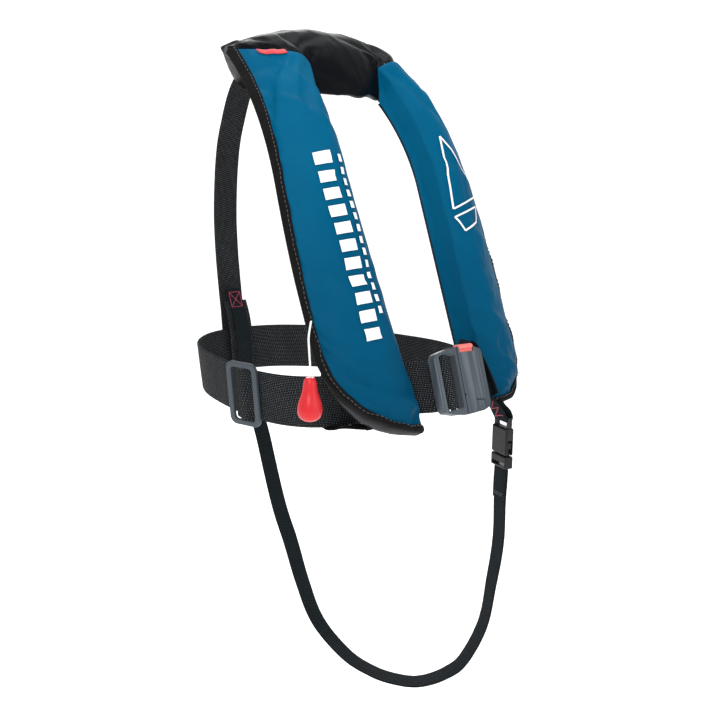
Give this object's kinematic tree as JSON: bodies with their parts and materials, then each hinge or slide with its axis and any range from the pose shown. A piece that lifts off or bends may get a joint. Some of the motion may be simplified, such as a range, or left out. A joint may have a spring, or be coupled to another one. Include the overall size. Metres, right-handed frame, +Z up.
{
  "type": "inflatable life jacket",
  "caption": "Inflatable life jacket with a folded bladder in two lobes, waist belt with press-button buckle, back strap and crotch loop.",
  "frame": {"origin": "inside the waist belt ring, on the centre plane, at mid height of the webbing", "axes": "+Z up, the wearer faces -Y, the wearer's right is -X"},
  "size_m": [0.2909, 0.4045, 0.67],
  "materials": {
    "blue_cover": "coated nylon cover cloth with a soft sheen",
    "black_cloth": "black nylon cloth of the yoke and back panels",
    "black_tape": "woven edge binding",
    "black_webbing": "coarse polyester webbing",
    "closure": "hook and loop tape",
    "bladder": "yellow coated bladder fabric",
    "grey_plastic": "moulded acetal, fine texture",
    "black_plastic": "black moulded acetal",
    "button_red": "red press button",
    "toggle_red": "bright red moulded pull toggle",
    "cord_white": "white braided cord",
    "red_thread": "red bonded sewing thread",
    "red_woven": "red woven tab",
    "spring_steel": "stainless steel",
    "gas_steel": "zinc plated steel cylinder",
    "seal": "rubber seal",
    "indicator_green": "green indicator clip",
    "tube_black": "black mouth tube",
    "whistle_orange": "orange whistle"
  },
  "bodies": {
    "root": {"neck_yoke_cover": "black_cloth", "left_back_panel": "black_cloth", "left_cover_wall": "blue_cover", "left_upper_cover": "blue_cover", "left_upper_binding": "black_tape", "left_closure_tape": "closure", "right_back_panel": "black_cloth", "right_cover_wall": "blue_cover", "right_upper_cover": "blue_cover", "right_upper_binding": "black_tape", "right_closure_tape": "closure", "bladder_left_arm": "bladder", "bladder_right_arm": "bladder", "bladder_neck": "bladder", "waist_belt": "black_webbing", "belt_loops": "black_webbing", "back_strap": "black_webbing", "back_strap_tacks": "red_thread", "crotch_strap_anchor": "black_webbing", "crotch_tab": "black_webbing", "crotch_tab_tacks": "red_thread", "buckle_female_front": "grey_plastic", "buckle_female_back": "grey_plastic", "button_springs": "spring_steel", "buckle_female_webbing": "black_webbing", "inflator_body": "black_plastic", "cylinder_seal": "seal", "inflator_manifold": "tube_black", "lever_pin": "spring_steel", "status_indicator": "indicator_green", "gas_cylinder": "gas_steel", "tube_flange": "tube_black", "oral_tube": "tube_black", "valve_body": "black_plastic", "whistle": "whistle_orange", "woven_tab": "red_woven", "lifting_loop": "bladder"},
    "right_flap": {"right_cover_flap": "blue_cover", "right_flap_binding": "black_tape"},
    "left_flap": {"left_cover_flap": "blue_cover", "left_flap_binding": "black_tape"},
    "buckle_male": {"buckle_male_frame": "grey_plastic", "buckle_male_webbing": "black_webbing"},
    "release_button": {"buckle_release_button": "button_red"},
    "slider": {"belt_slider": "grey_plastic", "slider_webbing": "black_webbing"},
    "toggle": {"pull_toggle": "toggle_red", "pull_cord": "cord_white"},
    "lever": {"inflator_lever": "toggle_red"},
    "pin": {"firing_pin": "spring_steel"},
    "poppet": {"valve_poppet": "button_red"},
    "cap": {"dust_cap": "toggle_red"},
    "clip_top": {"clip_female": "black_plastic"},
    "crotch_loop": {"crotch_strap": "black_webbing", "clip_male": "black_plastic"}
  },
  "joints": [
    {"name": "right_cover_open", "type": "hinge", "parent": "root", "child": "right_flap", "pos_m": [-0.05, -0.12389, 0.01046], "axis": [-0.046, 0.3871, 0.9209], "range_deg": [0, 75]},
    {"name": "left_cover_open", "type": "hinge", "parent": "root", "child": "left_flap", "pos_m": [0.05, -0.12389, 0.01046], "axis": [-0.046, -0.3871, -0.9209], "range_deg": [0, 75]},
    {"name": "buckle_release", "type": "slide", "parent": "root", "child": "buckle_male", "axis": [-0.994, 0.1097, 0], "range_m": [0, 0.012]},
    {"name": "button_press", "type": "slide", "parent": "root", "child": "release_button", "axis": [-0.0357, -0.3236, -0.9455], "range_m": [0, 0.003], "stiffness_N_per_m": 300, "deforming": ["button_springs"]},
    {"name": "slider_adjust", "type": "slide", "parent": "root", "child": "slider", "axis": [0.04, 0.9992, 0], "range_m": [-0.012, 0.006]},
    {"name": "toggle_pull", "type": "slide", "parent": "root", "child": "toggle", "axis": [0, 0, -1], "range_m": [0, 0.038], "stiffness_N_per_m": 220},
    {"name": "lever_swing", "type": "hinge", "parent": "root", "child": "lever", "pos_m": [-0.097, -0.06574, 0.10751], "axis": [0, -0.9219, 0.3875], "range_deg": [0, 110]},
    {"name": "pin_strike", "type": "slide", "parent": "root", "child": "pin", "axis": [0, -0.3875, -0.9219], "range_m": [0, 0.004]},
    {"name": "valve_press", "type": "slide", "parent": "root", "child": "poppet", "axis": [0, -0.3875, -0.9219], "range_m": [0, 0.0025], "stiffness_N_per_m": 8},
    {"name": "dust_cap_lift", "type": "slide", "parent": "root", "child": "cap", "axis": [0, 0.3875, 0.9219], "range_m": [0, 0.012]},
    {"name": "crotch_loop_swing", "type": "hinge", "parent": "root", "child": "clip_top", "pos_m": [0.0464, -0.1485, -0.0195], "axis": [-0.1307, 0.9903, -0.0465], "range_deg": [-25, 25]},
    {"name": "clip_release", "type": "slide", "parent": "clip_top", "child": "crotch_loop", "axis": [0, 0, -1], "range_m": [0, 0.02], "stiffness_N_per_m": 400}
  ],
  "couplings": [
    {"joint": "lever_swing", "follows": "toggle_pull", "rad_per_m": 50.523},
    {"joint": "pin_strike", "follows": "toggle_pull", "ratio": 0.10526}
  ]
}
